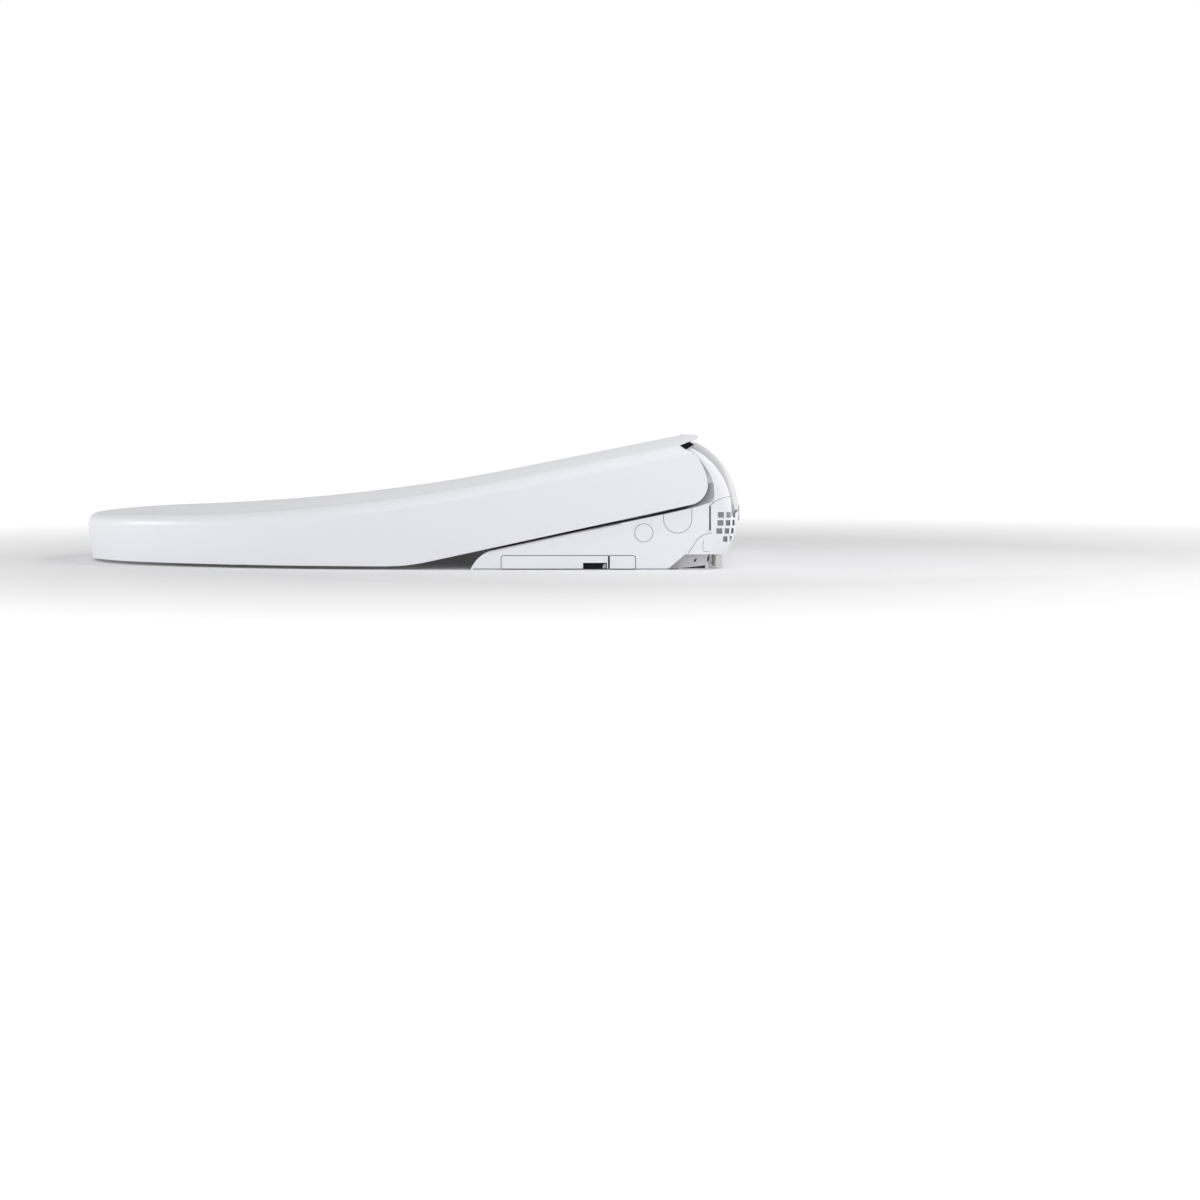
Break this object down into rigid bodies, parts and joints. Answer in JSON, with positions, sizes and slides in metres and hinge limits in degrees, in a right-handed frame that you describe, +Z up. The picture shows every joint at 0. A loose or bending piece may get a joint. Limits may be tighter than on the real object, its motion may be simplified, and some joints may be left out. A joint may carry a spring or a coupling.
{
  "type": "electric bidet seat",
  "caption": "Heated toilet seat with a lid, both hinged on a rear housing with a washing wand, a warm-air dryer and a suction fan.",
  "frame": {"origin": "midway between the two deck bolt holes, on the plane that the unit rests on", "axes": "+Z up, -Y towards the front tip of the seat, +X to the sitter's left"},
  "size_m": [0.3822, 0.5274, 0.1002],
  "materials": {
    "gloss_shell": "glossy white moulded plastic",
    "seat_shell": "satin white moulded plastic",
    "tray_plastic": "pale grey moulded plastic",
    "wand_plastic": "glossy white, easily wiped",
    "grey_plastic": "mid grey plastic",
    "bush_plastic": "natural acetal",
    "soft_rubber": "soft pale rubber",
    "steel": "plated steel",
    "heater_foil": "aluminium foil and sheet",
    "board": "green circuit board",
    "filter_foam": "dark carbon foam",
    "brass": "plated brass"
  },
  "bodies": {
    "main_unit": {"base_plate": "tray_plastic", "base_plate_bushings": "grey_plastic", "lower_case": "tray_plastic", "upper_case": "gloss_shell", "rear_case": "gloss_shell", "left_side_cover": "gloss_shell", "right_side_cover": "gloss_shell", "hinge_caps": "gloss_shell", "screw_caps": "gloss_shell", "hinge_pins": "steel", "hinge_dampers": "bush_plastic", "wand_guide": "tray_plastic", "wand_motor": "steel", "dryer_housing": "tray_plastic", "dryer_motor": "steel", "dryer_duct": "tray_plastic", "dryer_heater": "heater_foil", "deodorizer_housing": "tray_plastic", "deodorizer_motor": "steel", "water_heater": "heater_foil", "valve_unit": "grey_plastic", "solenoid_valve": "steel", "control_board": "board", "power_board": "board", "button_board": "board", "power_inlet": "grey_plastic", "water_inlet": "brass"},
    "wand_carriage": {"wand": "wand_plastic", "wand_tip": "wand_plastic"},
    "pinion": {"wand_pinion": "grey_plastic"},
    "dryer_door": {"dryer_flap": "gloss_shell"},
    "dryer_wheel": {"dryer_impeller": "grey_plastic"},
    "suction_wheel": {"deodorizer_impeller": "grey_plastic"},
    "filter_drawer": {"filter_cover": "gloss_shell", "deodorizer_filter": "filter_foam"},
    "latch": {"release_button": "gloss_shell"},
    "power_key": {"power_button": "grey_plastic"},
    "wash_key": {"wash_button": "grey_plastic"},
    "seat": {"seat_top": "seat_shell", "seat_bottom": "seat_shell", "seat_heater": "heater_foil", "seat_bumpers": "soft_rubber", "seat_hinge_bushes": "bush_plastic"},
    "lid": {"lid_shell": "gloss_shell", "lid_bumpers": "soft_rubber", "lid_hinge_bushes": "bush_plastic"}
  },
  "joints": [
    {"name": "seat_hinge", "type": "hinge", "parent": "main_unit", "child": "seat", "pos_m": [0, 0.011, 0.039], "axis": [-1, 0, 0], "range_deg": [0, 96]},
    {"name": "lid_hinge", "type": "hinge", "parent": "seat", "child": "lid", "pos_m": [0, 0.011, 0.039], "axis": [1, 0, 0], "range_deg": [-105, 0]},
    {"name": "wand_slide", "type": "slide", "parent": "main_unit", "child": "wand_carriage", "axis": [0, -0.9703, -0.2419], "range_m": [0, 0.09]},
    {"name": "pinion_spin", "type": "hinge", "parent": "main_unit", "child": "pinion", "pos_m": [0.0125, -0.05619, 0.02188], "axis": [0, -0.2419, 0.9703], "range_deg": [0, 1035]},
    {"name": "dryer_flap_hinge", "type": "hinge", "parent": "main_unit", "child": "dryer_door", "pos_m": [-0.05, -0.0942, 0.0187], "axis": [-1, 0, 0], "range_deg": [0, 60], "stiffness_Nm_per_rad": 0.002},
    {"name": "dryer_fan", "type": "hinge", "parent": "main_unit", "child": "dryer_wheel", "pos_m": [-0.045, 0.008, 0.055], "axis": [1, 0, 0], "continuous": true},
    {"name": "suction_fan", "type": "hinge", "parent": "main_unit", "child": "suction_wheel", "pos_m": [0.107, 0.016, 0.054], "axis": [1, 0, 0], "continuous": true},
    {"name": "filter_pull", "type": "slide", "parent": "main_unit", "child": "filter_drawer", "axis": [1, 0, 0], "range_m": [0, 0.032]},
    {"name": "latch_press", "type": "slide", "parent": "main_unit", "child": "latch", "axis": [-1, 0, 0], "range_m": [0, 0.003], "stiffness_N_per_m": 600},
    {"name": "power_press", "type": "slide", "parent": "main_unit", "child": "power_key", "axis": [1, 0, 0], "range_m": [0, 0.001], "stiffness_N_per_m": 800},
    {"name": "wash_press", "type": "slide", "parent": "main_unit", "child": "wash_key", "axis": [1, 0, 0], "range_m": [0, 0.001], "stiffness_N_per_m": 800}
  ],
  "couplings": [
    {"joint": "pinion_spin", "follows": "wand_slide", "rad_per_m": 200}
  ]
}
